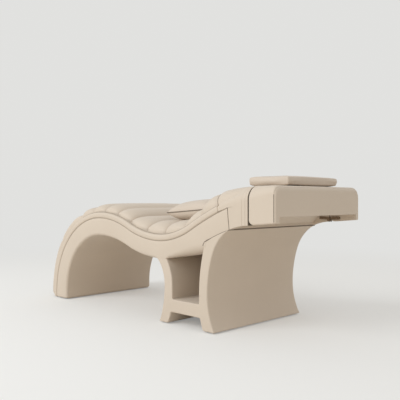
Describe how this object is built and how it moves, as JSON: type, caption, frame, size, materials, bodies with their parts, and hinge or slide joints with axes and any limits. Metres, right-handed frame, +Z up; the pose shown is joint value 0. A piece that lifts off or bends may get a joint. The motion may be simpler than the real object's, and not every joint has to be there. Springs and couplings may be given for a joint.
{
  "type": "curved treatment bed",
  "caption": "Curved salon treatment bed with a channelled wave mattress on an arched body, a pedestal with an open shelf bay, a tilting head section and loose pillows.",
  "frame": {"origin": "on the floor, under the middle of the bed's box", "axes": "+X towards the head end, +Y to the left of a person lying on the bed, +Z up"},
  "size_m": [1.9, 0.7064, 0.7555],
  "materials": {
    "upholstery": "fine grained beige",
    "piping": "beige sewn cord",
    "pillow_leather": "soft beige",
    "plywood": "raw sanded",
    "hinge_steel": "zinc plated",
    "glide_plastic": "matt black"
  },
  "bodies": {
    "bed": {"mattress": "upholstery", "side_cover_left": "upholstery", "side_cover_right": "upholstery", "rim_roll_left": "upholstery", "rim_roll_right": "upholstery", "shoulder_cover": "upholstery", "front_leg_cover": "upholstery", "rear_leg_cover": "upholstery", "shelf_cover": "upholstery", "pedestal_top_block": "upholstery", "arch_lining": "upholstery", "recess_lining": "upholstery", "lower_piping_left": "piping", "lower_piping_right": "piping", "upper_piping_left": "piping", "upper_piping_right": "piping", "rib_right": "plywood", "rib_centre": "plywood", "rib_left": "plywood", "sole_board": "plywood", "bent_deck": "plywood", "cross_battens": "plywood", "shoulder_frame": "plywood", "front_leg_core": "plywood", "rear_leg_core": "plywood", "shelf_board": "plywood", "bolt_cleats": "plywood", "hinge_fixed_plate_left": "hinge_steel", "hinge_fixed_plate_right": "hinge_steel", "hinge_pin_left": "hinge_steel", "hinge_pin_right": "hinge_steel", "hinge_washer_left": "hinge_steel", "hinge_washer_right": "hinge_steel", "hinge_fixed_screws": "hinge_steel", "pedestal_bolts": "hinge_steel", "foot_glides": "glide_plastic", "pedestal_glides": "glide_plastic"},
    "headrest": {"headrest_cover": "upholstery", "headrest_frame": "plywood", "headrest_lining": "upholstery", "headrest_end_panel": "upholstery", "hinge_moving_plate_left": "hinge_steel", "hinge_moving_plate_right": "hinge_steel", "hinge_moving_screws": "hinge_steel"},
    "neck_pillow": {"neck_pillow": "pillow_leather"},
    "lumbar_pillow": {"lumbar_pillow": "pillow_leather"}
  },
  "joints": [
    {"name": "headrest_tilt", "type": "hinge", "parent": "bed", "child": "headrest", "pos_m": [0.801, 0, 0.541], "axis": [0, 1, 0], "range_deg": [0, 20]},
    {"name": "neck_pillow_lift", "type": "slide", "parent": "headrest", "child": "neck_pillow", "axis": [0, 0, 1], "range_m": [0, 0.15]},
    {"name": "lumbar_pillow_lift", "type": "slide", "parent": "bed", "child": "lumbar_pillow", "axis": [0, 0, 1], "range_m": [0, 0.2]}
  ]
}
